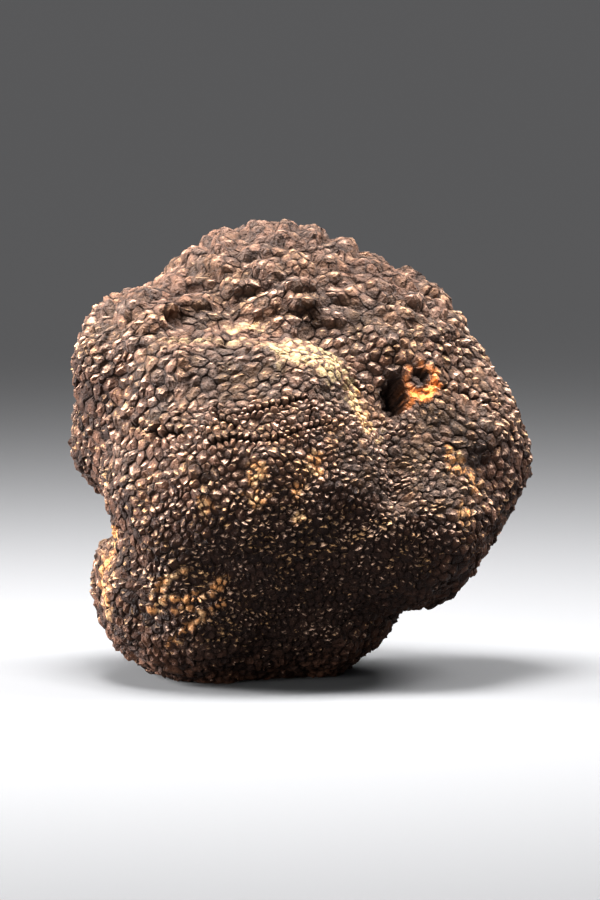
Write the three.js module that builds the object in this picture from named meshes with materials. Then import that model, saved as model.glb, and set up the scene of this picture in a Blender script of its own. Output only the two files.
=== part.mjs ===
// Black truffle: one lobed body, its skin covered all over with low polygonal warts.
// Millimetres, +Z up. It lies on a small flat spot at z = 0, and the origin is on that plane, under the
// middle of its outline. From -Y it shows its broad front lobe, with the blunt nose towards +X.
import * as THREE from "three";
import { ConvexHull } from "three/addons/math/ConvexHull.js";

// Driving dimensions of the body. Each lobe is an ellipsoid: its middle, then its half sizes, on x, y and z.
const LOBES = [
  { name: "front boulder", at: [-6.2, -7, 25.6], half: [19.4, 16.6, 18.6] },
  { name: "ridge", at: [-7.6, -9.8, 39.6], half: [14, 6.8, 5.6] },
  { name: "top dome", at: [-3.5, 9, 40], half: [19.5, 16.2, 19.3] },
  { name: "left side", at: [-14, 5, 36], half: [15.5, 19, 15] },
  { name: "upper left corner", at: [-18.5, 3, 41], half: [11.6, 13.5, 10.6] },
  { name: "lower left cheek", at: [-17.6, 6, 29.8], half: [12, 15, 9.8] },
  { name: "right shoulder", at: [9.6, 6.5, 40.2], half: [13.6, 15.5, 13.6] },
  { name: "right nose", at: [13.2, 3.5, 28.6], half: [16.3, 16, 16] },
  { name: "under the nose", at: [9.6, -3, 21.6], half: [15.6, 17, 13.2] },
  { name: "left foot", at: [-13, -2, 12.4], half: [14.2, 17.5, 13.2] },
  { name: "heel", at: [-0.8, 2.8, 11.8], half: [13.8, 17.5, 13] },
  { name: "back", at: [-1, 10, 27], half: [21, 16, 17] },
];
const LOBE_BLEND = 2.6; // width over which two lobes flow into each other

// Hollows in the skin, written as the lobes are, with the width of their rounded rims.
const HOLLOWS = [
  { name: "notch at the left", at: [-28, 0, 19.8], half: [5.4, 11, 2.1], rim: 1.5 },
  { name: "cleft at the back", at: [1, 27, 37], half: [2, 5.5, 13], rim: 2.5 },
  { name: "furrow right of the boulder", at: [12.4, -17.6, 33], half: [2.6, 4.5, 9], rim: 2.5 },
  { name: "hollow left of the dome", at: [-13.5, -8.5, 47.6], half: [3.4, 2.6, 1.5], rim: 2.5 },
  { name: "gnawed pit", at: [14.2, -13.4, 37.4], half: [3.4, 3, 2.9], rim: 1 },
];

// Gentle swells over the whole skin: height, and length of one wave over 2 pi.
const SWELLS = [
  { height: 0.6, size: 3.3 },
  { height: 0.3, size: 1.8 },
];
const SWELL_PHASE = { x: 1.3, y: 0.4, z: 2.1 };

// The warts are drawn larger than life, which is about 1.5 mm across.
const WART_SPACING = 2; // least distance between two tips
const WART_RISE = 0.3; // tip above the body
const GROOVE_DEPTH = 0.65; // groove below the body
const WART_VARIATION = 0.5; // share by which a wart's rise differs

// A point inside the body from which each bit of skin can be seen.
const HEART = new THREE.Vector3(-2, 9, 21);
const REACH = 52; // further from the heart than any skin
const WALK_STEPS = 40;
const WALK_STRIDE = 0.7; // share of the distance left that each step inwards takes
const TIP_TRIALS = 30000; // places tried for a tip
const DRAW_SEED = 20;
const SKIN_COLOUR = 0x2b201a;

// Random numbers from 0 to 1, the same ones in each run.
function drawFrom(seed) {
  let state = seed;
  return () => {
    state = (state + 0x6d2b79f5) | 0;
    let mixed = Math.imul(state ^ (state >>> 15), 1 | state);
    mixed = (mixed + Math.imul(mixed ^ (mixed >>> 7), 61 | mixed)) ^ mixed;
    return ((mixed ^ (mixed >>> 14)) >>> 0) / 2 ** 32;
  };
}

// About how far a point lies outside an ellipsoid, less than 0 inside.
function distanceTo({ at, half }, point) {
  const offset = point.clone().sub(new THREE.Vector3(...at));
  const sizes = new THREE.Vector3(...half);
  const once = offset.clone().divide(sizes).length();
  const twice = offset.divide(sizes).divide(sizes).length();
  return (once * (once - 1)) / Math.max(twice, 1e-9);
}

// The lesser of two distances, rounded where they are nearly equal.
function smoothLesser(a, b, blend) {
  const near = Math.max(blend - Math.abs(a - b), 0) / blend;
  return Math.min(a, b) - (near * near * blend) / 4;
}

function swellAt(point) {
  return SWELLS.reduce((sum, { height, size }) => {
    const wave = (axis) => Math.sin(point[axis] / size + SWELL_PHASE[axis]);
    return sum + height * wave("x") * wave("y") * wave("z");
  }, 0);
}

function distanceToBody(point) {
  const lobes = LOBES.map((lobe) => distanceTo(lobe, point)).reduce((a, b) => smoothLesser(a, b, LOBE_BLEND));
  const hollowed = HOLLOWS.reduce(
    (body, hollow) => -smoothLesser(-body, distanceTo(hollow, point), hollow.rim),
    lobes,
  );
  return hollowed - swellAt(point);
}

// Where the skin is, seen from the heart: walks in from outside along a direction.
function skinAlong(direction) {
  let reach = REACH;
  for (let step = 0; step < WALK_STEPS; step += 1) {
    reach -= WALK_STRIDE * distanceToBody(direction.clone().multiplyScalar(reach).add(HEART));
  }
  return reach;
}

// A skin point raised or sunk by some height along its direction, and kept on or above the resting plane.
function raisedPoint(direction, height) {
  const point = direction.clone().multiplyScalar(skinAlong(direction) + height).add(HEART);
  if (point.z >= 0) return point;
  const down = direction.clone().multiplyScalar(HEART.z / -direction.z).add(HEART);
  return down.setZ(0);
}

// Directions of the wart tips: random ones, kept where no earlier tip is nearer than the spacing.
function tipDirections(draw) {
  const cells = new Map();
  const cellOf = (point, dx, dy, dz) =>
    [point.x, point.y, point.z]
      .map((value, axis) => Math.floor(value / WART_SPACING) + [dx, dy, dz][axis])
      .join();
  const sides = [-1, 0, 1];
  const around = sides.flatMap((dx) => sides.flatMap((dy) => sides.map((dz) => [dx, dy, dz])));
  const kept = [];
  for (let trial = 0; trial < TIP_TRIALS; trial += 1) {
    const direction = new THREE.Vector3().setFromSphericalCoords(
      1,
      Math.acos(2 * draw() - 1),
      2 * Math.PI * draw(),
    );
    const point = direction.clone().multiplyScalar(skinAlong(direction)).add(HEART);
    const crowded = around.some((step) =>
      (cells.get(cellOf(point, ...step)) ?? []).some((other) => other.distanceTo(point) < WART_SPACING),
    );
    if (crowded) continue;
    const cell = cellOf(point, 0, 0, 0);
    cells.set(cell, [...(cells.get(cell) ?? []), point]);
    kept.push(direction);
  }
  return kept;
}

// The skin as flat-sided pyramids. Three neighbouring tips meet at a corner in the groove between them,
// and each side of a pyramid joins a tip to two corners that follow each other round it.
function wartySkin(draw) {
  const tips = tipDirections(draw);
  const tipIndex = new Map(tips.map((direction, index) => [direction, index]));
  const points = tips.map((direction) =>
    raisedPoint(direction, WART_RISE * (1 + WART_VARIATION * (2 * draw() - 1))),
  );
  const faces = new ConvexHull().setFromPoints(tips).faces;
  const cornerOf = new Map();
  for (const face of faces) {
    const middle = [0, 1, 2]
      .map((side) => face.getEdge(side).head().point)
      .reduce((sum, direction) => sum.add(direction), new THREE.Vector3())
      .normalize();
    cornerOf.set(face, points.length);
    points.push(raisedPoint(middle, -GROOVE_DEPTH));
  }
  const triangles = faces.flatMap((face) =>
    [0, 1, 2].flatMap((side) => {
      const edge = face.getEdge(side);
      return [tipIndex.get(edge.tail().point), cornerOf.get(edge.twin.face), cornerOf.get(face)];
    }),
  );
  return new THREE.BufferGeometry().setFromPoints(points).setIndex(triangles);
}

// Puts the origin under the middle of the outline.
function centred(geometry) {
  geometry.computeBoundingBox();
  const middle = geometry.boundingBox.getCenter(new THREE.Vector3());
  return geometry.translate(-middle.x, -middle.y, 0);
}

const truffle = new THREE.Mesh(
  centred(wartySkin(drawFrom(DRAW_SEED))),
  new THREE.MeshStandardMaterial({ color: SKIN_COLOUR, roughness: 0.75, metalness: 0, flatShading: true }),
);
truffle.name = "truffle";

const part = new THREE.Group();
part.add(truffle);

export default part;
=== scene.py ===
# A black truffle on a pale floor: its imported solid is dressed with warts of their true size
import math

import bmesh
import bpy
import numpy as np
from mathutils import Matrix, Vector, kdtree, noise


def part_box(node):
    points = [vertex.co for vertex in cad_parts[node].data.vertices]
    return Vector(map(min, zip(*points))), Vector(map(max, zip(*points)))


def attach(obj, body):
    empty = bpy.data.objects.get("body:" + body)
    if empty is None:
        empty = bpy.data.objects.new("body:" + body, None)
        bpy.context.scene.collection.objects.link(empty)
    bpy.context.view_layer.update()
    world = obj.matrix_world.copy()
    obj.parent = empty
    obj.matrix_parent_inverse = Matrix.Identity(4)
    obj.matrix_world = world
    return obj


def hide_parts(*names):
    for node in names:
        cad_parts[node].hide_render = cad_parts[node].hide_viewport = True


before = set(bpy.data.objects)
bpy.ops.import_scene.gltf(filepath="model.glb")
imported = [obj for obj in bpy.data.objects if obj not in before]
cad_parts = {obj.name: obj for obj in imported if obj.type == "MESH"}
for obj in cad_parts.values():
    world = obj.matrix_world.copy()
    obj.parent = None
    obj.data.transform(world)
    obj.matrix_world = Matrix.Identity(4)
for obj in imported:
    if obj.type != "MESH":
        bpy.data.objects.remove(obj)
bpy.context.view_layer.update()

NODE = "truffle"
MM = 0.001
# Keeps a division from meeting nought
TINY = 1e-9

# The body, as the solid has it: middle and half sizes of each lobe, in mm
LOBES = {
    "front boulder": ((-6.2, -7, 25.6), (19.4, 16.6, 18.6)),
    "ridge": ((-7.6, -9.8, 39.6), (14, 6.8, 5.6)),
    "top dome": ((-3.5, 9, 40), (19.5, 16.2, 19.3)),
    "left side": ((-14, 5, 36), (15.5, 19, 15)),
    "upper left corner": ((-18.5, 3, 41), (11.6, 13.5, 10.6)),
    "lower left cheek": ((-17.6, 6, 29.8), (12, 15, 9.8)),
    "right shoulder": ((9.6, 6.5, 40.2), (13.6, 15.5, 13.6)),
    "right nose": ((13.2, 3.5, 28.6), (16.3, 16, 16)),
    "under the nose": ((9.6, -3, 21.6), (15.6, 17, 13.2)),
    "left foot": ((-13, -2, 12.4), (14.2, 17.5, 13.2)),
    "heel": ((-0.8, 2.8, 11.8), (13.8, 17.5, 13)),
    "back": ((-1, 10, 27), (21, 16, 17)),
}
LOBE_BLEND = 2.6
# Hollows: middle, half sizes and width of the rounded rim, in mm
HOLLOWS = {
    "notch at the left": ((-28, 0, 19.8), (5.4, 11, 2.1), 1.5),
    "cleft at the back": ((1, 27, 37), (2, 5.5, 13), 2.5),
    "furrow right of the boulder": ((12.4, -17.6, 33), (2.6, 4.5, 9), 2.5),
    "hollow left of the dome": ((-13.5, -8.5, 47.6), (3.4, 2.6, 1.5), 2.5),
    "gnawed pit": ((14.2, -13.4, 37.4), (3.4, 3, 2.9), 1),
}
# Two holes in the floor of the pit, written as the hollows are
PIT_HOLES = (
    ((11.9, -11.4, 37.0), (1.8, 5.6, 2.6), 0.5),
    ((15.3, -10.6, 39.9), (1.2, 4.6, 1.2), 0.5),
)
# How far outside its hollow the rim of the pit reaches, in mm
PIT_RIM = 1.2
# Where a hole's painted shade ends, over its half sizes, and where along y it begins and is full, in mm
HOLE_SHADE_EDGE = (1.1, 1.45)
HOLE_SHADE_DEEPENS = (-11.2, -9.6)
# Swells over the whole skin: height, and length of one wave over 2 pi, in mm
SWELLS = ((0.6, 3.3), (0.3, 1.8))
SWELL_PHASE = np.array([1.3, 0.4, 2.1])

# A point inside from which each bit of skin can be seen, and the walk inwards that finds the skin, in mm
HEART = np.array([-2.0, 9.0, 21.0])
REACH = 52.0
WALK_STEPS = 40
WALK_STRIDE = 0.7
NORMAL_STEP = 0.05

# The photograph's view, in mm: a place on the front is written as seen there, right and up from the base
VIEW_TILT = math.radians(5)
VIEW_DISTANCE = 700.0
VIEW_AIM = np.array([0.0, 0.0, 29.5])
VIEW_RIGHT = np.array([1.0, 0.0, 0.0])
VIEW_UP = np.array([0.0, math.sin(VIEW_TILT), math.cos(VIEW_TILT)])
VIEW_INTO = np.array([0.0, math.cos(VIEW_TILT), -math.sin(VIEW_TILT)])
LINE_STEP = 0.4

# Least distance between the middles of two warts, in mm
COARSE_WART = 1.14
BACK_WART = 1.4
FINE_WART = 0.62
DOME_WART = 1.02
PIT_WART = 0.62
# Where the fine warts are, low on the front, and where along y the back's larger ones begin and are full
FINE_MIDDLE = np.array([0.0, -20.5, 20.0])
FINE_STRETCH = np.array([1.2, 1.0, 1.25])
FINE_WITHIN = 9.0
FINE_FROM = 24.0
BACK_FROM = 2
BACK_FULL = 12
# How much single warts differ from that distance, and their size over it
SIZE_DIFFERS = (0.58, 1.58)
SIZE_OVER_SPACING = 1.3
# Trials for the scatter: anywhere, more where the skin is steep as the heart sees it, and in the pit
WART_TRIALS = 80000
STEEP = 0.65
STEEP_TRIALS = 4
STEEP_SPREAD = 0.012
PIT_TRIALS = 6000
# Least distance between the middles of two clusters of warts, in mm, and the seed of all random draws
CLUSTER_SPACING = 4.4
DRAW_SEED = 7

# Lumps on the dome, each of several low warts: sizes in mm, warp (amount and length) and painted shade at
# their feet
LUMP_SPACING = 2.6
LUMP_STRETCH = np.array([1.7, 1.3, 1.0])
LUMP_HEIGHT = 1.1
LUMP_FLANK = 2.2
LUMP_WARP = (0.5, 3.0)
LUMP_WART_LOWER = 0.4
LUMP_FOOT_SHADE = 0.8
LUMP_FOOT_SHADE_POWER = 4
# Height above the floor at which the dome's lumps begin and are full, in mm
LUMPS_FROM = 42.0
LUMPS_FULL = 49.0

# The rings of a wart: share of the way from its tip to its groove, and how far that differs
CROWN_AT = 0.4
SHOULDER_AT = 0.86
RING_JITTER = 0.08
# Height of each ring, times the wart's size to HEIGHT_POWER. Two values are across its crest and along it
TIP_HEIGHT = 0.2
CROWN_HEIGHT = (0.02, 0.19)
SHOULDER_HEIGHT = (-0.13, -0.02)
GROOVE_HEIGHT = -0.18
MID_GROOVE_HEIGHT = 0.85 * GROOVE_HEIGHT
HEIGHT_POWER = 0.4
# How deep a groove is, and how much painted shade it and its shoulders get, between two clusters of warts
# and within one
GROOVE_DEPTHS = (2.0, 0.85)
GROOVE_SHADE = (1.0, 0.92)
SHOULDER_SHADE = (0.7, 0.5)
# How much of a tip's wear, dust and painted highlight the rings have, across the crest and along it
CROWN_TIP = (0.5, 0.95)
SHOULDER_TIP = (0.05, 0.3)
# How far single warts and points differ
HEIGHT_DIFFERS = 0.06
TILT_DIFFERS = 0.12
GRAIN_HEIGHT = 0.055
CORNER_JITTER = 0.3
TIP_JITTER = 0.1
GROOVE_JITTER = 0.06
# The way that a crest runs: about level, more to the right, more along the rows, and turned by chance
CREST_TO_RIGHT = 0.3
CREST_ALONG_ROWS = 2
CREST_TURNS = 0.6
# Unevenness of the whole skin: height and length in mm
UNDULATION = (0.5, 6.0)
ROUGHNESS = (0.14, 1.1)
# Smooth noise: fall of its octaves, gap between them and their number
FRACTAL_FALL = 1.0
FRACTAL_GAP = 2.0
FRACTAL_OCTAVES = 3

# Where the warts are drawn out into rows: place on the front, radius in mm, direction there and strength
ROWS = (
    ((-8.0, 37.0), 7.0, (0.95, 0.31), 0.84),
    ((1.0, 37.0), 7.0, (0.98, 0.17), 0.82),
    ((18.5, 33.5), 7.0, (0.71, -0.71), 0.62),
    ((-2.0, 50.0), 8.0, (1.0, 0.0), 0.6),
)
# Where the pull into rows ends, over its radius, the most that it can be, and how much finer it makes warts
ROW_EDGE = (0.6, 1.2)
ROW_STRENGTH_MOST = 0.86
ROW_FINER = 0.25

# Cracks between rows of warts, as they show on the front
CRACKS = (
    ((-11.7, 30.5), (-8.9, 31.2), (-6.0, 30.9), (-3.5, 30.9), (-1.3, 31.8), (1.0, 32.6), (3.8, 33.2)),
    ((-11.2, 35.3), (-10.9, 33.8), (-8.9, 33.2), (-7.9, 31.5)),
    ((-8.2, 34.4), (-5.3, 35.0), (-1.9, 35.7), (0.5, 36.4)),
    ((1.4, 35.9), (1.1, 33.2)),
    ((-17.0, 44.0), (-10.2, 43.9), (-5.7, 44.6)),
    ((17.6, 38.3), (21.5, 37.2), (24.1, 35.9)),
    ((-22.0, 33.0), (-18.6, 31.6), (-16.0, 31.9)),
)
# Steps along a crack and half its gap, over the spacing of warts, and heights as the rings have them
CRACK_STEP = 1.5
CRACK_HALF_GAP = 0.8
CRACK_HEIGHT = -1.2
CRACK_WALL_HEIGHT = -0.5
# How much paler the warts on one lip are
CRACK_LIP_TONE = 0.8

# Pale scuffs along the ridge: places on the front, half width in mm and strength
SCUFFS = (
    (((-1.8, 42.4), (1.0, 41.9), (3.6, 41.0)), 2.3, 1.0),
    (((-2.0, 43.8), (1.0, 43.6), (3.4, 42.4)), 1.3, 0.9),
    (((4.4, 40.4), (5.8, 38.6), (6.6, 36.6)), 1.0, 0.85),
    (((6.8, 36.0), (8.0, 34.4), (9.2, 32.4)), 1.5, 0.6),
    (((-9.6, 45.8), (-6.0, 46.0)), 1.0, 0.6),
    (((-17.0, 43.8), (-10.0, 44.0), (-2.8, 43.8)), 0.9, 0.4),
)
# Rust on the ridge between the two holes of the pit, written as the scuffs are
RUST_LINES = (
    (((14.2, 37.2), (15.2, 36.6), (16.6, 37.0), (17.4, 38.4)), 0.9, 1.0),
    (((13.8, 38.4), (14.4, 40.1)), 0.5, 0.6),
    (((15.4, 40.6), (17.0, 40.2), (17.6, 38.8)), 0.6, 0.6),
    (((14.6, 36.4), (13.9, 35.2), (12.9, 34.4)), 0.5, 0.7),
)
# Tan lines: a net on the foot, a painted rim highlight along its outer edge, and the outer flank of the
# ridge
TAN_AND_RIM_HIGHLIGHT_LINES = (
    (((-19.4, 10.6), (-17.6, 12.6), (-15.4, 14.0), (-13.4, 13.4)), 0.6, 0.6),
    (((-19.6, 8.6), (-17.2, 10.2), (-14.6, 10.0), (-12.2, 10.8), (-9.8, 12.8)), 0.6, 0.8),
    (((-16.8, 8.6), (-14.4, 9.0), (-12.8, 7.8), (-10.4, 9.6)), 0.5, 0.7),
    (((-17.4, 3.6), (-15.4, 5.6), (-13.2, 7.4)), 0.6, 0.6),
    # Painted highlight where the left rim light catches the foot's outer edge
    (((-24.4, 18.6), (-25.2, 15.5), (-25.8, 12.0), (-25.4, 8.5)), 1.4, 0.9),
    (((7.0, 36.6), (8.0, 34.6), (9.0, 32.4)), 1.3, 0.9),
    (((-9.0, 45.6), (-6.4, 46.2)), 0.9, 0.6),
)
# Tan spots: place on the front and radius in mm
TAN_SPOTS = (
    ((-6.0, 26.5), 1.2),
    ((-5.8, 23.2), 1.3),
    ((1.9, 28.4), 1.2),
    ((2.2, 26.5), 0.9),
    ((-0.6, 24.4), 0.9),
    ((-0.2, 20.7), 0.8),
    ((-12.6, 22.3), 0.9),
    ((22.4, 25.6), 1.4),
    ((20.5, 27.2), 1.2),
    ((21.2, 21.4), 1.2),
    ((19.5, 29.3), 1.0),
)
# Painted shade in dark spots, written as the spots are, and their strength
SHADE_SPOTS = (
    ((-11.5, 39.0), 5.0),
    ((-5.0, 39.5), 3.5),
    ((-13.4, 47.4), 2.2),
    ((2.0, 47.2), 3.4),
    ((7.6, 47.2), 3.4),
    ((3.6, 37.6), 2.2),
    ((19.0, 33.0), 4.0),
    ((14.0, 29.0), 3.0),
    ((8.5, 25.5), 5.0),
    ((18.0, 24.0), 4.5),
    ((19.0, 28.0), 4.5),
    ((23.0, 30.0), 3.0),
    ((-19.0, 34.5), 1.8),
)
SHADE_SPOT_STRENGTH = 0.85
# Where a patch ends, over its half width, how ragged it is (amounts and lengths in mm), and its reach
PATCH_EDGE = (0.6, 1.35)
RAGGED = ((0.5, 2.2), (0.5, 0.8))
PATCH_REACH = 3
# Where the gnawing of the pit ends, over its rim, and how ragged that is
GNAWED_EDGE = (0.75, 1.1)
GNAWED_RAGGED = 0.3
# How much lower the warts are there, and the height and length of the crumbs instead, in mm
SCUFF_RELIEF = (0.5, 0.22, 0.9)
GNAWED_RELIEF = (0.5, 0.5, 1.2)
# How much of a groove's painted shade is filled
RUST_FILLS = 0.8
SCUFF_FILLS = 0.8
TAN_FILLS = 0.7
# Painted shade low on the front, in mm, and lighter painted shade behind, from where along y to where
FRONT_SHADE_MIDDLE = np.array([1.0, -20.0, 13.0])
FRONT_SHADE_HALF = np.array([23.0, 17.0, 15.0])
FRONT_SHADE_EDGE = (0.6, 1.25)
FRONT_SHADE_RAGGED = 0.2
BACK_SHADE = 0.6
BACK_SHADE_FROM = (-2, 10)


def unit(vectors):
    """The vectors, each made 1 long."""
    return vectors / np.linalg.norm(vectors, axis=1)[:, None]


def dot(a, b):
    """Dot product of each vector of a with its vector of b."""
    return np.einsum("ij,ij->i", a, b)


def smooth_step(low, high, values):
    """From 0 where a value is low to 1 where it is high, with no corner."""
    share = np.clip((values - low) / (high - low), 0, 1)
    return share * share * (3 - 2 * share)


def fractal(points, size):
    """Smooth noise from about -1 to 1, its largest waves about size mm long."""
    settings = (FRACTAL_FALL, FRACTAL_GAP, FRACTAL_OCTAVES)
    return np.array([noise.fractal(Vector(point), *settings) for point in points / size])


def ellipsoid_distance(points, middle, half):
    """About how far each point lies outside an ellipsoid, less than 0 inside."""
    offset = points - np.array(middle)
    half = np.array(half)
    once = np.linalg.norm(offset / half, axis=1)
    twice = np.linalg.norm(offset / half**2, axis=1)
    return once * (once - 1) / np.maximum(twice, TINY)


def smooth_lesser(a, b, blend):
    """The lesser of two distances, rounded where they are nearly equal."""
    near = np.maximum(blend - np.abs(a - b), 0) / blend
    return np.minimum(a, b) - near**2 * blend / 4


def body_distance(points):
    """About how far each point lies outside the truffle's body."""
    lobes = [ellipsoid_distance(points, middle, half) for middle, half in LOBES.values()]
    distance = lobes[0]
    for lobe in lobes[1:]:
        distance = smooth_lesser(distance, lobe, LOBE_BLEND)
    for middle, half, rim in (*HOLLOWS.values(), *PIT_HOLES):
        distance = -smooth_lesser(-distance, ellipsoid_distance(points, middle, half), rim)
    for height, size in SWELLS:
        distance = distance - height * np.prod(np.sin(points / size + SWELL_PHASE), axis=1)
    return distance


def walk_in(start, directions, reach, sign):
    """Distance along each direction where a walk out from start (sign 1) or in (-1) meets the skin."""
    reach = np.full(len(directions), reach)
    for _ in range(WALK_STEPS):
        reach += sign * WALK_STRIDE * body_distance(start + directions * reach[:, None])
    return reach


def skin_points(directions):
    """Where the skin is in each direction from the heart."""
    reach = walk_in(HEART, directions, REACH, -1)
    return HEART + directions * reach[:, None]


def skin_normals(points):
    """Outward direction of the skin at each point."""
    steps = np.eye(3) * NORMAL_STEP
    slopes = [body_distance(points + step) - body_distance(points - step) for step in steps]
    return unit(np.stack(slopes, axis=1))


def seen_points(places):
    """Points of the skin that show at (right, up) places in the photograph's view."""
    places = np.array(places)
    eye = VIEW_AIM - VIEW_INTO * VIEW_DISTANCE
    aims = VIEW_AIM + np.outer(places[:, 0], VIEW_RIGHT) + np.outer(places[:, 1] - VIEW_AIM[2], VIEW_UP)
    rays = unit(aims - eye)
    reach = walk_in(eye, rays, VIEW_DISTANCE - REACH, 1)
    return eye + rays * reach[:, None]


def along(points, step):
    """Points at even steps along a broken line."""
    lengths = np.linalg.norm(np.diff(points, axis=0), axis=1)
    marks = np.concatenate([[0], np.cumsum(lengths)])
    stations = np.linspace(0, marks[-1], max(2, round(marks[-1] / step) + 1))
    return np.stack([np.interp(stations, marks, points[:, axis]) for axis in range(3)], axis=1)


def from_pit(points):
    """Distance from the middle of the gnawed pit, 1 at about its rim."""
    middle, half, _ = HOLLOWS["gnawed pit"]
    return np.linalg.norm((points - np.array(middle)) / (np.array(half) + PIT_RIM), axis=1)


def on_dome(points):
    """How far up on the dome each point lies, from 0 to 1."""
    return smooth_step(LUMPS_FROM, LUMPS_FULL, points[:, 2])


def row_pull(points):
    """Direction along which the warts at each point are drawn out, the longer the more they are."""
    pull = np.zeros_like(points)
    for place, radius, (right, up), strength in ROWS:
        away = np.linalg.norm(points - seen_points([place]), axis=1) / radius
        share = strength * (1 - smooth_step(*ROW_EDGE, away))
        pull += share[:, None] * (right * VIEW_RIGHT + up * VIEW_UP)
    length = np.linalg.norm(pull, axis=1)
    return pull * np.minimum(1, ROW_STRENGTH_MOST / np.maximum(length, TINY))[:, None]


def wart_spacing(points):
    """Least distance between two warts at each point."""
    away = np.linalg.norm((points - FINE_MIDDLE) / FINE_STRETCH, axis=1)
    share = smooth_step(FINE_WITHIN, FINE_FROM, away)
    spacing = FINE_WART + (COARSE_WART - FINE_WART) * share
    spacing += (DOME_WART - COARSE_WART) * on_dome(points)
    spacing += (BACK_WART - COARSE_WART) * smooth_step(BACK_FROM, BACK_FULL, points[:, 1])
    spacing *= 1 - ROW_FINER * np.linalg.norm(row_pull(points), axis=1)
    return np.where(from_pit(points) < 1, PIT_WART, spacing)


def crack_seeds():
    """Wart middles in pairs on the two sides of each crack, with the crack and the side of each."""
    seeds, marks = [], []
    for crack, places in enumerate(CRACKS):
        line = seen_points(places)
        stations = along(line, CRACK_STEP * wart_spacing(line).mean())
        ahead = unit(np.gradient(stations, axis=0))
        half_gap = CRACK_HALF_GAP * wart_spacing(stations)[:, None]
        across = unit(np.cross(skin_normals(stations), ahead)) * half_gap
        for side in (-1, 1):
            seeds.append(stations + side * across)
            marks += [(crack + 1) * side] * len(stations)
    return np.concatenate(seeds), marks


def scatter_warts(draw):
    """Directions of the wart middles, their sizes in mm, and the crack that each lies beside, or 0."""
    beside, marks = crack_seeds()
    pit_middle, pit_half, _ = HOLLOWS["gnawed pit"]
    in_pit = np.array(pit_middle) + draw.normal(size=(PIT_TRIALS, 3)) * np.array(pit_half)
    anywhere = unit(draw.normal(size=(WART_TRIALS, 3)))
    seen = dot(skin_normals(skin_points(anywhere)), anywhere)
    steep = np.repeat(anywhere[seen < STEEP], STEEP_TRIALS, axis=0)
    steep = steep + draw.normal(0, STEEP_SPREAD, steep.shape)
    trials = np.concatenate([anywhere, steep, unit(in_pit - HEART)])
    draw.shuffle(trials)
    directions = unit(np.concatenate([beside - HEART, trials]))
    points = skin_points(directions)
    spacing = wart_spacing(points)
    differs = draw.uniform(*SIZE_DIFFERS, len(points))
    differs[: len(beside)] = 1
    pull = row_pull(points)
    pull[: len(beside)] = 0
    kept = thinned(points, spacing * differs, pull)
    cracks = np.array([marks[index] if index < len(marks) else 0 for index in kept])
    return directions[kept], spacing[kept] * SIZE_OVER_SPACING, cracks


def tree_of(points):
    """A tree that finds the nearest of the points."""
    tree = kdtree.KDTree(len(points))
    for index, point in enumerate(points):
        tree.insert(point, index)
    tree.balance()
    return tree


def thinned(points, spacing, pull):
    """Indices of points that are kept when each, in turn, drops the later ones within its spacing."""
    tree = tree_of(points)
    reach = spacing / np.sqrt(1 - np.sum(pull**2, axis=1))
    free = np.ones(len(points), bool)
    kept = []
    for index, point in enumerate(points):
        if not free[index]:
            continue
        kept.append(index)
        others = np.array([other for _, other, _ in tree.find_range(point, reach[index])])
        offset = points[others] - point
        away = np.sum(offset**2, axis=1) - (offset @ pull[index]) ** 2
        free[others[away < spacing[index] ** 2]] = False
    return kept


def clusters_of(points):
    """Number of the cluster that each wart belongs to."""
    heads = thinned(points, np.full(len(points), CLUSTER_SPACING), np.zeros_like(points))
    tree = tree_of(points[heads])
    return np.array([tree.find(point)[1] for point in points])


def lump_shares(points, tips):
    """How high on its lump each point lies, from 0 at the foot to 1."""
    amount, length = LUMP_WARP
    warped = points + amount * fractal(points, length)[:, None]
    spread = tips / LUMP_STRETCH
    heads = thinned(spread, np.full(len(tips), LUMP_SPACING), np.zeros_like(tips))
    tree = tree_of(spread[heads])
    nearest = [tree.find_n(point, 2) for point in warped / LUMP_STRETCH]
    from_edge = np.array([second[2] - first[2] for first, second in nearest])
    return smooth_step(0, LUMP_FLANK, from_edge)


def neighbours(directions, points):
    """Triangles between neighbouring warts, facing out."""
    hull = bmesh.new()
    for direction in directions:
        hull.verts.new(direction)
    hull.verts.index_update()
    bmesh.ops.convex_hull(hull, input=hull.verts)
    bmesh.ops.triangulate(hull, faces=hull.faces)
    for vertex in hull.verts:
        vertex.co = points[vertex.index]
    bmesh.ops.beautify_fill(hull, faces=hull.faces, edges=hull.edges, method="ANGLE")
    bmesh.ops.recalc_face_normals(hull, faces=hull.faces)
    triangles = np.array([[corner.index for corner in face.verts] for face in hull.faces])
    hull.free()
    return triangles


def wart_sides(triangles):
    """For each side of each wart: wart, neighbour, end corners, the side before it and its groove."""
    tail = triangles.ravel()
    head = np.roll(triangles, -1, axis=1).ravel()
    face = np.repeat(np.arange(len(triangles)), 3)
    of_pair = {pair: side for side, pair in enumerate(zip(tail, head))}
    twin = np.array([of_pair[pair] for pair in zip(head, tail)])
    following = np.arange(len(tail)).reshape(-1, 3)
    following = np.roll(following, -1, axis=1).ravel()
    first = tail < head
    groove = np.zeros(len(tail), int)
    groove[first] = np.arange(first.sum())
    groove[~first] = groove[twin[~first]]
    return {
        "wart": tail,
        "other": head,
        "start": face[twin],
        "end": face,
        "before": following[twin],
        "first": first,
        "groove": groove,
    }


def crest_directions(tips, draw):
    """The way each wart's crest runs: along the rows, or about level, turned a little by chance."""
    normals = skin_normals(tips)
    level = unit(np.cross([0, 0, 1], normals) + CREST_TO_RIGHT * VIEW_RIGHT)
    level = level + CREST_ALONG_ROWS * row_pull(tips)
    level = unit(level - normals * dot(level, normals)[:, None])
    turns = draw.normal(0, CREST_TURNS, len(tips))[:, None]
    return np.cos(turns) * level + np.sin(turns) * np.cross(normals, level)


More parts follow.
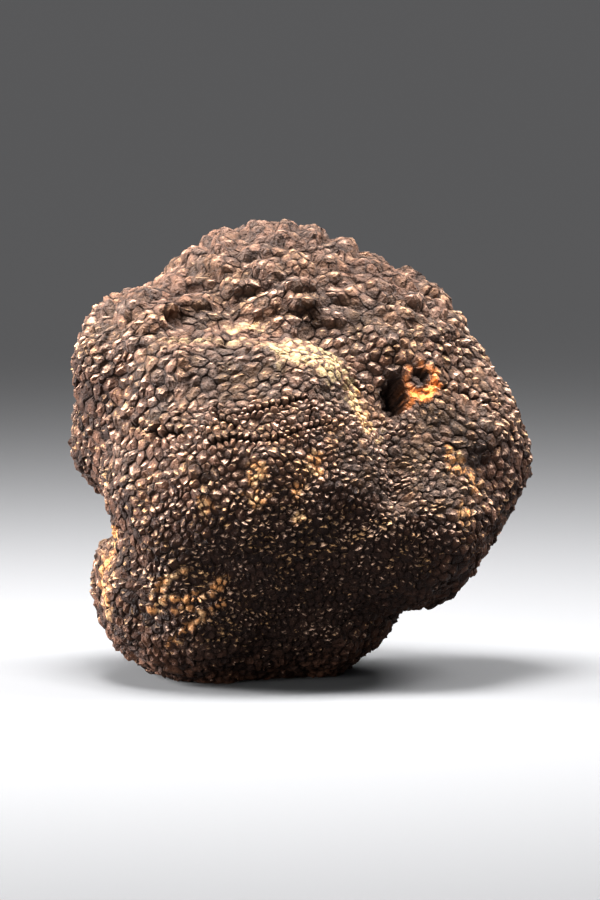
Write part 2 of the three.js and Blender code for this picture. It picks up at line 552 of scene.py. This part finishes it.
def patch(points, line, half_width, ragged):
    """How strongly a ragged patch round a line of points covers each point, from 0 to 1."""
    cover = np.zeros(len(points))
    middle = line.mean(axis=0)
    reach = np.max(np.linalg.norm(line - middle, axis=1)) + PATCH_REACH * half_width
    near = np.linalg.norm(points - middle, axis=1) < reach
    if near.any():
        from_line = np.min(np.linalg.norm(points[near][:, None] - line[None], axis=2), axis=1)
        cover[near] = 1 - smooth_step(*PATCH_EDGE, from_line / half_width + ragged[near])
    return cover


def line_cover(points, lines, ragged):
    """How strongly lines on the front, each of its own width and strength, cover each point."""
    cover = np.zeros(len(points))
    for places, half_width, strength in lines:
        line = along(seen_points(places), LINE_STEP)
        cover = np.maximum(cover, strength * patch(points, line, half_width, ragged))
    return cover


def spot_cover(points, spots, ragged):
    """How strongly round spots on the front cover each point."""
    cover = np.zeros(len(points))
    for place, radius in spots:
        cover = np.maximum(cover, patch(points, seen_points([place]), radius, ragged))
    return cover


def hole_shade(points):
    """How deep in the painted shade of a hole of the pit each point lies, from 0 to 1."""
    cover = np.zeros(len(points))
    for middle, half, _ in PIT_HOLES:
        away = np.linalg.norm((points - np.array(middle)) / np.array(half), axis=1)
        cover = np.maximum(cover, 1 - smooth_step(*HOLE_SHADE_EDGE, away))
    return cover * smooth_step(*HOLE_SHADE_DEEPENS, points[:, 1])


class Skin:
    """The skin in mm. Each wart has a tip, a crown and shoulders round it, and grooves that it shares."""

    def __init__(self):
        self.draw = np.random.default_rng(DRAW_SEED)
        middles, self.sizes, self.cracks = scatter_warts(self.draw)
        self.tips = skin_points(middles)
        self.triangles = neighbours(middles, self.tips)
        self.sides = wart_sides(self.triangles)
        self.lay_points()
        self.shape_rings()
        self.cut_grooves()
        self.cut_cracks()
        self.wear()
        self.raise_points()

    def blocks(self):
        """Points, warts and heights of the tips, corners of three warts, mid grooves and both rings."""
        draw, tips, sides = self.draw, self.tips, self.sides
        shares = 1 + draw.uniform(-CORNER_JITTER, CORNER_JITTER, self.triangles.shape)
        corners = np.sum(tips[self.triangles] * shares[:, :, None], axis=1) / shares.sum(axis=1)[:, None]
        corners = skin_points(unit(corners - HEART))
        first = sides["first"]
        grooves = (corners[sides["start"][first]] + corners[sides["end"][first]]) / 2
        grooves += draw.normal(0, GROOVE_JITTER, grooves.shape)
        own, end = tips[sides["wart"]], corners[sides["end"]]

        def part_way(share):
            jitter = share + draw.uniform(-RING_JITTER, RING_JITTER, len(own))
            return own + (end - own) * jitter[:, None]

        peaks = tips + draw.normal(0, TIP_JITTER, tips.shape) * self.sizes[:, None]
        return {
            "tip": (peaks, np.arange(len(tips)), TIP_HEIGHT),
            "corner": (corners, self.triangles[:, 0], GROOVE_HEIGHT),
            "groove": (grooves, sides["wart"][first], MID_GROOVE_HEIGHT),
            "shoulder": (part_way(SHOULDER_AT), sides["wart"], 0.0),
            "crown": (part_way(CROWN_AT), sides["wart"], 0.0),
        }

    def lay_points(self):
        """All points, on the smooth body, block after block."""
        self.starts = {}
        self.total = 0
        points, owners, heights = [], [], []
        for name, (block, owner, height) in self.blocks().items():
            self.starts[name] = self.total
            self.total += len(block)
            points.append(block)
            owners.append(owner)
            heights.append(np.full(len(block), height))
        self.points = skin_points(unit(np.concatenate(points) - HEART))
        self.normals = skin_normals(self.points)
        self.owner = np.concatenate(owners)
        self.height = np.concatenate(heights)
        self.shoulders = slice(self.starts["shoulder"], self.starts["crown"])
        self.crowns = slice(self.starts["crown"], self.total)
        self.in_groove = np.zeros(self.total, bool)
        self.in_groove[self.starts["corner"] : self.starts["shoulder"]] = True

    def shape_rings(self):
        """A wart is highest along its crest."""
        self.offset = self.points - self.tips[self.owner]
        crests = crest_directions(self.tips, self.draw)[self.owner]
        self.lengthways = dot(self.offset, crests) ** 2 / np.maximum(np.sum(self.offset**2, axis=1), TINY)
        for ring, (low, high) in ((self.shoulders, SHOULDER_HEIGHT), (self.crowns, CROWN_HEIGHT)):
            self.height[ring] = low + (high - low) * self.lengthways[ring]

    def cut_grooves(self):
        """Grooves are deeper between two clusters of warts than within one."""
        sides, first = self.sides, self.sides["first"]
        clusters = clusters_of(self.points[: len(self.tips)])
        pairs = np.stack([sides["wart"][first], sides["other"][first]], axis=1)
        self.split_groove = np.ptp(clusters[pairs], axis=1) > 0
        split_corner = np.ptp(clusters[self.triangles], axis=1) > 0
        self.split = np.concatenate([split_corner, self.split_groove])
        self.height[self.in_groove] *= np.where(self.split, *GROOVE_DEPTHS)

    def cut_cracks(self):
        """A crack runs where the two warts of a groove lie on its two sides."""
        sides, beside = self.sides, self.cracks[self.sides["wart"]]
        cracked = (beside == -self.cracks[sides["other"]]) & (beside != 0)
        for block, which in (("groove", "groove"), ("corner", "start"), ("corner", "end")):
            self.height[self.starts[block] + sides[which][cracked]] = CRACK_HEIGHT
        self.crack_walls = np.zeros(self.total, bool)
        self.crack_walls[self.shoulders] = cracked | cracked[np.argsort(sides["before"])]
        self.height[self.crack_walls] = CRACK_WALL_HEIGHT

    def wear(self):
        """What wears the skin, and how strongly it covers each point, from 0 to 1."""
        points = self.points
        self.ragged = sum(amount * fractal(points, length) for amount, length in RAGGED)
        self.pale = line_cover(points, SCUFFS, self.ragged)
        self.rust = line_cover(points, RUST_LINES, self.ragged)
        # The tan lines hold a painted highlight along the foot's outer edge
        tan_and_highlight_lines = line_cover(points, TAN_AND_RIM_HIGHLIGHT_LINES, self.ragged)
        self.tan = np.maximum(tan_and_highlight_lines, spot_cover(points, TAN_SPOTS, self.ragged))
        self.gnawed = 1 - smooth_step(*GNAWED_EDGE, from_pit(points) + GNAWED_RAGGED * self.ragged)
        # The painted shade inside the pit's two holes
        self.hole = hole_shade(points)

    def raise_points(self):
        """Each wart stands a little higher or lower, tilts its own way and is grained all over."""
        draw, owner, count = self.draw, self.owner, len(self.tips)
        raised = draw.normal(0, HEIGHT_DIFFERS, count)[owner] * ~self.in_groove
        leaning = draw.normal(0, TILT_DIFFERS, (count, 3))[owner]
        tilted = dot(self.offset, leaning) * ~self.in_groove
        grain = draw.normal(0, GRAIN_HEIGHT, self.total)
        self.lump = lump_shares(self.points, self.tips)
        self.lumpy = on_dome(self.points)
        relief = self.sizes[owner] ** HEIGHT_POWER * (self.height + raised + grain) + tilted
        relief *= 1 - LUMP_WART_LOWER * self.lumpy
        for cover, (lower, crumb, length) in ((self.pale, SCUFF_RELIEF), (self.gnawed, GNAWED_RELIEF)):
            relief *= 1 - lower * cover
            relief += cover * crumb * fractal(self.points, length)
        for amount, length in (UNDULATION, ROUGHNESS):
            relief += amount * fractal(self.points, length)
        relief += LUMP_HEIGHT * self.lumpy * (self.lump - 1)
        self.points = self.points + self.normals * relief[:, None]
        self.points[:, 2] = np.maximum(self.points[:, 2], 0)

    def tip_shares(self):
        """How much of a tip's wear, dust and painted highlight each point has."""
        shares = np.zeros(self.total)
        shares[: self.starts["corner"]] = 1
        for ring, (low, high) in ((self.shoulders, SHOULDER_TIP), (self.crowns, CROWN_TIP)):
            shares[ring] = low + (high - low) * self.lengthways[ring]
        return shares

    def groove_shade(self):
        """How much painted shade each point gets because it is sunk."""
        dark = np.zeros(self.total)
        # Painted shade in the grooves and on the shoulders beside them
        dark[self.in_groove] = np.where(self.split, *GROOVE_SHADE)
        dark[self.shoulders] = np.where(self.split_groove[self.sides["groove"]], *SHOULDER_SHADE)
        # Painted shade on the walls of the cracks
        dark[self.crack_walls] = 1
        # Painted shade at the feet of the dome's lumps
        dark = np.maximum(dark, LUMP_FOOT_SHADE * self.lumpy * (1 - self.lump) ** LUMP_FOOT_SHADE_POWER)
        for cover, filled in ((self.rust, RUST_FILLS), (self.pale, SCUFF_FILLS), (self.tan, TAN_FILLS)):
            dark = dark * (1 - filled * cover)
        # Painted shade in the pit's two holes
        return np.maximum(dark, self.hole)

    def painted_shade(self):
        """How much painted shade the skin gets: most low on the front, less behind and on the flanks."""
        away = np.linalg.norm((self.points - FRONT_SHADE_MIDDLE) / FRONT_SHADE_HALF, axis=1)
        in_front = 1 - smooth_step(*FRONT_SHADE_EDGE, away + FRONT_SHADE_RAGGED * self.ragged)
        behind = smooth_step(*BACK_SHADE_FROM, self.points[:, 1]) * (1 - on_dome(self.points))
        return np.maximum(in_front, BACK_SHADE * behind)

    def values(self):
        """One value a point for each thing that the material mixes."""
        tones = self.draw.uniform(0, 1, len(self.tips)) + CRACK_LIP_TONE * (self.cracks < 0)
        return {
            "tip": self.tip_shares(),
            # The groove value is painted shade: grooves, cracks, feet of lumps and the pit's holes
            "groove": self.groove_shade(),
            "wart_tone": tones[self.owner],
            "pale": self.pale,
            "tan": self.tan,
            "rust": self.rust,
            "painted_shade": self.painted_shade(),
            # Painted shade in spots, under the dome and on the right lobe
            "shade_spot": SHADE_SPOT_STRENGTH * spot_cover(self.points, SHADE_SPOTS, self.ragged),
            "skyward": self.normals[:, 2],
        }

    def faces(self):
        """Triangles from groove to shoulder to crown to tip, for each side of each wart."""
        starts, sides = self.starts, self.sides
        before = sides["before"]
        every = np.arange(len(before))
        tip = starts["tip"] + sides["wart"]
        corner_a = starts["corner"] + sides["start"]
        corner_b = starts["corner"] + sides["end"]
        middle = starts["groove"] + sides["groove"]
        shoulder_a = starts["shoulder"] + before
        shoulder_b = starts["shoulder"] + every
        crown_a = starts["crown"] + before
        crown_b = starts["crown"] + every
        faces = [
            (shoulder_a, corner_a, middle),
            (shoulder_a, middle, shoulder_b),
            (shoulder_b, middle, corner_b),
            (crown_a, shoulder_a, shoulder_b),
            (crown_a, shoulder_b, crown_b),
            (tip, crown_a, crown_b),
        ]
        return np.concatenate([np.stack(face, axis=1) for face in faces])


# The bake map: the six sides of a cube round the heart, unrolled in three columns and two rows
MAP_COLUMNS = 3
MAP_ROWS = 2
MAP_FILL = 0.94


def bake_map(points, faces):
    """A place on the map for each corner of each face."""
    ways = points - HEART
    middles = ways[faces].mean(axis=1)
    axis = np.argmax(np.abs(middles), axis=1)
    every = np.arange(len(faces))
    ahead = np.sign(middles[every, axis])
    side = 2 * axis + (ahead > 0)
    depth = np.abs(ways[faces, axis[:, None]])
    across = ways[faces, (axis[:, None] + 1) % 3] * ahead[:, None]
    up = ways[faces, (axis[:, None] + 2) % 3]
    quarter = math.pi / 4
    square = np.stack([np.arctan2(across, depth), np.arctan2(up, depth)], axis=2) / quarter
    cell = np.stack([side % MAP_COLUMNS, side // MAP_COLUMNS], axis=1)[:, None]
    return (cell + 0.5 + square * MAP_FILL / 2) / np.array([MAP_COLUMNS, MAP_ROWS])


def make_truffle():
    """The dressed truffle, its middle where the solid's is."""
    skin = Skin()
    faces = skin.faces()
    places = bake_map(skin.points, faces)
    low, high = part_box(NODE)
    middle = (skin.points.min(axis=0) + skin.points.max(axis=0)) / 2
    points = skin.points * MM
    points[:, 0] += (low.x + high.x) / 2 - middle[0] * MM
    points[:, 1] += (low.y + high.y) / 2 - middle[1] * MM
    mesh = bpy.data.meshes.new("truffle_skin")
    mesh.from_pydata(points.tolist(), [], faces.tolist())
    for name, numbers in skin.values().items():
        layer = mesh.attributes.new(name, "FLOAT", "POINT")
        layer.data.foreach_set("value", np.clip(numbers, 0, 1).astype(np.float32))
    mesh.uv_layers.new(name="OFBake").uv.foreach_set("vector", places.astype(np.float32).ravel())
    mesh.update()
    piece = bpy.data.objects.new("truffle_skin", mesh)
    bpy.context.scene.collection.objects.link(piece)
    return piece


class Nodes:
    """A material's nodes, made one call each."""

    def __init__(self, name):
        self.material = bpy.data.materials.new(name)
        self.material.use_nodes = True
        self.tree = self.material.node_tree
        self.shader = self.tree.nodes["Principled BSDF"]

    def set(self, socket, value):
        """Links a socket to another, or sets it to a plain value."""
        if isinstance(value, bpy.types.NodeSocket):
            self.tree.links.new(value, socket)
        else:
            socket.default_value = value

    def attribute(self, name):
        node = self.tree.nodes.new("ShaderNodeAttribute")
        node.attribute_name = name
        return node.outputs["Fac"]

    def place(self):
        return self.tree.nodes.new("ShaderNodeTexCoord").outputs["Object"]

    def noise(self, place, size, detail=3.0, roughness=0.6):
        """Noise from 0 to 1, its largest grain about size mm across."""
        node = self.tree.nodes.new("ShaderNodeTexNoise")
        self.set(node.inputs["Vector"], place)
        node.inputs["Scale"].default_value = 1 / (size * MM)
        node.inputs["Detail"].default_value = detail
        node.inputs["Roughness"].default_value = roughness
        return node.outputs["Fac"]

    def upward(self):
        """How far the facet faces up, from -1 to 1."""
        split = self.tree.nodes.new("ShaderNodeSeparateXYZ")
        geometry = self.tree.nodes.new("ShaderNodeNewGeometry")
        self.set(split.inputs["Vector"], geometry.outputs["True Normal"])
        return split.outputs["Z"]

    def ramp(self, value, low, high, to_low=0.0, to_high=1.0):
        """A smooth step from to_low, where the value is low, to to_high, where it is high."""
        node = self.tree.nodes.new("ShaderNodeMapRange")
        node.interpolation_type = "SMOOTHSTEP"
        for socket, number in zip(node.inputs, (value, low, high, to_low, to_high)):
            self.set(socket, number)
        return node.outputs["Result"]

    def maths(self, operation, a, b):
        node = self.tree.nodes.new("ShaderNodeMath")
        node.operation = operation
        self.set(node.inputs[0], a)
        self.set(node.inputs[1], b)
        return node.outputs["Value"]

    def times(self, a, b):
        return self.maths("MULTIPLY", a, b)

    def plus(self, a, b, share=1.0):
        """One value and a share of another."""
        return self.maths("ADD", a, self.times(b, share))

    def mix(self, share, a, b, kind="RGBA"):
        """A mix of two colours, or of two numbers where kind is FLOAT."""
        node = self.tree.nodes.new("ShaderNodeMix")
        node.data_type = kind
        self.set(node.inputs["Factor"], share)
        self.set(node.inputs["A"], a)
        self.set(node.inputs["B"], b)
        return node.outputs["Result"]

    def bump(self, height, depth, strength):
        """The normal of a skin that rises by height, at most depth mm."""
        node = self.tree.nodes.new("ShaderNodeBump")
        node.inputs["Distance"].default_value = depth * MM
        node.inputs["Strength"].default_value = strength
        self.set(node.inputs["Height"], height)
        return node.outputs["Normal"]


# Colours of the skin
# Painted shade for grooves, cracks, feet of lumps and the pit's holes
GROOVE_SHADE_BLACK = (0.006, 0.0025, 0.0015, 1)
# Painted shade low on the front, behind and in the shade spots
PAINTED_SHADE_BROWN = (0.005, 0.002, 0.0015, 1)
DARK_BROWN = (0.014, 0.006, 0.004, 1)
WARM_BROWN = (0.076, 0.033, 0.019, 1)
# Dust with painted highlights, pink and gold, on tips and facets that face up
DUST_HIGHLIGHT_PINK = (0.520, 0.340, 0.248, 1)
DUST_HIGHLIGHT_GOLD = (0.500, 0.285, 0.130, 1)
# A darker copy of the dust, painted shade for the tops
DUST_SHADED_BROWN = (0.300, 0.218, 0.165, 1)
SCUFF_CREAM = (0.290, 0.208, 0.102, 1)
OCHRE_TAN = (0.480, 0.205, 0.070, 1)
TAN_CREAM = (0.520, 0.315, 0.155, 1)
RUST = (0.640, 0.190, 0.040, 1)

# Noises of the skin: size of the grain in mm, then detail and roughness where they aren't the usual ones
BROAD_MOTTLE = (9,)
DUST_HIGHLIGHT_PATCHES = (3.5,)
TAN_PATCHES = (2.2,)
WEAR_PATCHES = (1.6,)
BUMP_GRAIN = (0.7, 3, 0.7)
FINE_GRAIN = (0.55, 4, 0.65)

# Bare skin: share of the noises in its tone, tones from dark to warm, and share of the painted shade
BROAD_IN_TONE = 0.9
FINE_IN_TONE = 1.2
TONES = (0.9, 2.0)
PAINTED_SHADE_SHARE = 0.85

# What holds dust and painted highlight: tips, grain, facets that face up more than the skin does as a
# painted highlight from above, and painted glints in the painted shade, but not the shade spots
DUST_HIGHLIGHT_ON_TIPS = 0.75
DUST_HIGHLIGHT_IN_GRAIN = 3.2
HIGHLIGHT_ON_UPWARD_FACETS = 1.2
SKIN_LEVEL = 0.5
# Painted glints on the tips in the painted shade low on the front
GLINTS_IN_SHADE = 0.2
DUST_IN_SHADE_SPOTS = -0.35
# From no dust and painted highlight to full, less of it on warts of dark tone
DUST_HIGHLIGHT_RANGE = (2.42, 3.4)
DUST_HIGHLIGHT_BY_TONE = (0.2, 1.2, 0.35, 1)
# Dust and painted highlight on what faces up: an even coat (share, base), how far it takes over, and its
# thinning at the top, which with a browner colour there is painted shade against the light from above
EVEN_SHARE = 0.65
EVEN_BASE = 0.2
EVEN_ON_TOP = 0.8
TOP_SHADE_THINNING = (0.55, 0.95, 1, 0.4)
TOP_SHADE_BROWNING = 0.6
PINK_TO_GOLD = (0.42, 0.62)

# Wear: how much more tips wear, and the ranges over which tan, cream, scuffs and rust show
WEAR_ON_TIPS = 0.3
TAN_RANGE = (1.0, 1.3)
TAN_TO_CREAM = (0.46, 0.64)
SCUFF_RANGE = (0.98, 1.25)
RUST_RANGE = (0.75, 1.1, 0.1, 1)
# How much of the painted groove shade goes into the colour
GROOVE_SHADE_SHARE = 0.92

# Gloss and bump of the skin
SKIN_ROUGHNESS = (0.25, 0.75, 0.5, 0.85)
SKIN_GLOSS = 0.1
BUMP_DEPTH = 0.9
BUMP_STRENGTH = 1.0


def bare_colour(n, tone, fine):
    """Brown warts, each of its own tone, with painted shade low on the front, behind and in the shade
    spots.
    """
    colour = n.mix(n.ramp(n.plus(tone, fine, FINE_IN_TONE), *TONES), DARK_BROWN, WARM_BROWN)
    shaded = n.maths("MAXIMUM", n.attribute("painted_shade"), n.attribute("shade_spot"))
    return n.mix(n.times(shaded, PAINTED_SHADE_SHARE), colour, PAINTED_SHADE_BROWN)


def dust_and_highlight_colour(n, colour, tone, fine, place):
    """Pink and golden dust with painted highlights on tips and on facets that face up, painted glints in
    the shade, and a browner, more even coat on top as painted shade.
    """
    skyward = n.attribute("skyward")
    held = n.plus(n.times(n.attribute("tip"), DUST_HIGHLIGHT_ON_TIPS), fine, DUST_HIGHLIGHT_IN_GRAIN)
    # Painted highlight: facets that face up more than the skin does are paler
    held = n.plus(held, n.plus(n.upward(), skyward, -SKIN_LEVEL), HIGHLIGHT_ON_UPWARD_FACETS)
    # Painted glints in the painted shade
    held = n.plus(held, n.attribute("painted_shade"), GLINTS_IN_SHADE)
    # Less dust and painted highlight in the painted shade spots
    held = n.plus(held, n.attribute("shade_spot"), DUST_IN_SHADE_SPOTS)
    dust_highlight_share = n.times(n.ramp(held, *DUST_HIGHLIGHT_RANGE), n.ramp(tone, *DUST_HIGHLIGHT_BY_TONE))
    evened = n.maths("ADD", n.times(dust_highlight_share, EVEN_SHARE), EVEN_BASE)
    dust_highlight_share = n.mix(n.times(skyward, EVEN_ON_TOP), dust_highlight_share, evened, "FLOAT")
    # Painted shade: the coat is thinner and browner on top, where the light from above falls strongest
    dust_highlight_share = n.times(dust_highlight_share, n.ramp(skyward, *TOP_SHADE_THINNING))
    dust = n.mix(n.ramp(n.noise(place, *DUST_HIGHLIGHT_PATCHES), *PINK_TO_GOLD), DUST_HIGHLIGHT_PINK, DUST_HIGHLIGHT_GOLD)
    dust = n.mix(n.times(skyward, TOP_SHADE_BROWNING), dust, DUST_SHADED_BROWN)
    return n.mix(dust_highlight_share, colour, dust)


def worn_colour(n, colour, fine, place):
    """Tan spots and lines, pale scuffs and rust, all crumbly."""
    worn = n.maths("ADD", fine, n.noise(place, *WEAR_PATCHES))
    crumbled = n.plus(worn, n.attribute("tip"), WEAR_ON_TIPS)
    tan = n.mix(n.ramp(n.noise(place, *TAN_PATCHES), *TAN_TO_CREAM), OCHRE_TAN, TAN_CREAM)
    # Tan, with a painted highlight along the foot's outer edge
    colour = n.mix(n.times(n.attribute("tan"), n.ramp(crumbled, *TAN_RANGE)), colour, tan)
    colour = n.mix(n.times(n.attribute("pale"), n.ramp(crumbled, *SCUFF_RANGE)), colour, SCUFF_CREAM)
    return n.mix(n.times(n.attribute("rust"), n.ramp(worn, *RUST_RANGE)), colour, RUST)


def peridium():
    """The skin: bare colour with painted shade, dust with painted highlights and wear over it, and painted
    shade in the grooves.
    """
    n = Nodes("peridium")
    place = n.place()
    fine = n.noise(place, *FINE_GRAIN)
    tone = n.plus(n.attribute("wart_tone"), n.noise(place, *BROAD_MOTTLE), BROAD_IN_TONE)
    colour = bare_colour(n, tone, fine)
    colour = dust_and_highlight_colour(n, colour, tone, fine, place)
    colour = worn_colour(n, colour, fine, place)
    # Painted shade: near black in grooves, cracks, at the feet of lumps and in the pit's holes
    colour = n.mix(n.times(n.attribute("groove"), GROOVE_SHADE_SHARE), colour, GROOVE_SHADE_BLACK)
    n.set(n.shader.inputs["Base Color"], colour)
    n.set(n.shader.inputs["Roughness"], n.ramp(fine, *SKIN_ROUGHNESS))
    n.shader.inputs["Specular IOR Level"].default_value = SKIN_GLOSS
    n.set(n.shader.inputs["Normal"], n.bump(n.noise(place, *BUMP_GRAIN), BUMP_DEPTH, BUMP_STRENGTH))
    return n.material


# The floor: side in metres, colour and finish
FLOOR_SIZE = 80.0
FLOOR_PALE = (0.085, 0.085, 0.087, 1)
FLOOR_ROUGHNESS = 0.9
FLOOR_GLOSS = 0.1


def make_floor():
    """A plain pale floor."""
    mesh = bpy.data.meshes.new("floor")
    half = FLOOR_SIZE / 2
    corners = [(-half, -half, 0), (half, -half, 0), (half, half, 0), (-half, half, 0)]
    mesh.from_pydata(corners, [], [(0, 1, 2, 3)])
    floor = bpy.data.objects.new("floor", mesh)
    bpy.context.scene.collection.objects.link(floor)
    n = Nodes("floor")
    n.shader.inputs["Base Color"].default_value = FLOOR_PALE
    n.shader.inputs["Roughness"].default_value = FLOOR_ROUGHNESS
    n.shader.inputs["Specular IOR Level"].default_value = FLOOR_GLOSS
    mesh.materials.append(n.material)


# Square soft lights: place and side in metres, and power in watts
LIGHTS = {
    "overhead": ((-0.03, -0.02, 0.30), 0.12, 2.7),
    "left rim": ((-0.38, 0.03, 0.15), 0.16, 5.4),
    "right rim": ((0.22, 0.05, 0.34), 0.16, 2.3),
    "front fill": ((-0.26, -0.58, 0.20), 0.30, 1.8),
}
LIGHT_SPREAD = math.radians(120)
# An even light straight down, and the studio's own
SKY_STRENGTH = 3.0
SKY_ANGLE = math.radians(50)
STUDIO_COLOUR = (0.80, 0.81, 0.84, 1)
STUDIO_STRENGTH = 0.13
AIM = Vector(VIEW_AIM * MM)


def turned_to_truffle(place):
    """Turn of a light or camera that stands at place and looks at the truffle."""
    return (AIM - place).to_track_quat("-Z", "Y").to_euler()


def make_light(name, place, size, watts):
    """A square soft light, turned to the truffle."""
    data = bpy.data.lights.new(name, "AREA")
    data.shape = "SQUARE"
    data.size = size
    data.energy = watts
    data.spread = LIGHT_SPREAD
    light = bpy.data.objects.new(name, data)
    light.location = place
    light.rotation_euler = turned_to_truffle(light.location)
    bpy.context.scene.collection.objects.link(light)


def make_sky():
    """An even, soft light straight down, which also reaches the far floor."""
    data = bpy.data.lights.new("sky", "SUN")
    data.energy = SKY_STRENGTH
    data.angle = SKY_ANGLE
    bpy.context.scene.collection.objects.link(bpy.data.objects.new("sky", data))


def make_world():
    """A faint, even light from all round."""
    world = bpy.data.worlds.new("studio")
    world.use_nodes = True
    background = world.node_tree.nodes["Background"]
    background.inputs["Color"].default_value = STUDIO_COLOUR
    background.inputs["Strength"].default_value = STUDIO_STRENGTH
    bpy.context.scene.world = world


# The camera: height of the frame at the truffle and of the sensor in mm, and nearest distance in metres
FRAME_HEIGHT = 118
SENSOR_HEIGHT = 36
NEAREST = 0.01


def make_camera():
    """Looks from the photograph's angle. The frame's height takes in about twice the truffle."""
    data = bpy.data.cameras.new("camera")
    data.sensor_fit = "VERTICAL"
    data.sensor_height = SENSOR_HEIGHT
    data.lens = SENSOR_HEIGHT * VIEW_DISTANCE / FRAME_HEIGHT
    data.clip_start = NEAREST
    camera = bpy.data.objects.new("camera", data)
    camera.location = Vector((VIEW_AIM - VIEW_INTO * VIEW_DISTANCE) * MM)
    camera.rotation_euler = turned_to_truffle(camera.location)
    bpy.context.scene.collection.objects.link(camera)
    bpy.context.scene.camera = camera


truffle = make_truffle()
truffle.data.materials.append(peridium())
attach(truffle, "root")
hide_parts(NODE)

make_floor()
for light_name, (light_place, light_size, light_watts) in LIGHTS.items():
    make_light(light_name, light_place, light_size, light_watts)
make_sky()
make_world()
make_camera()
bpy.context.scene.view_settings.view_transform = "Standard"
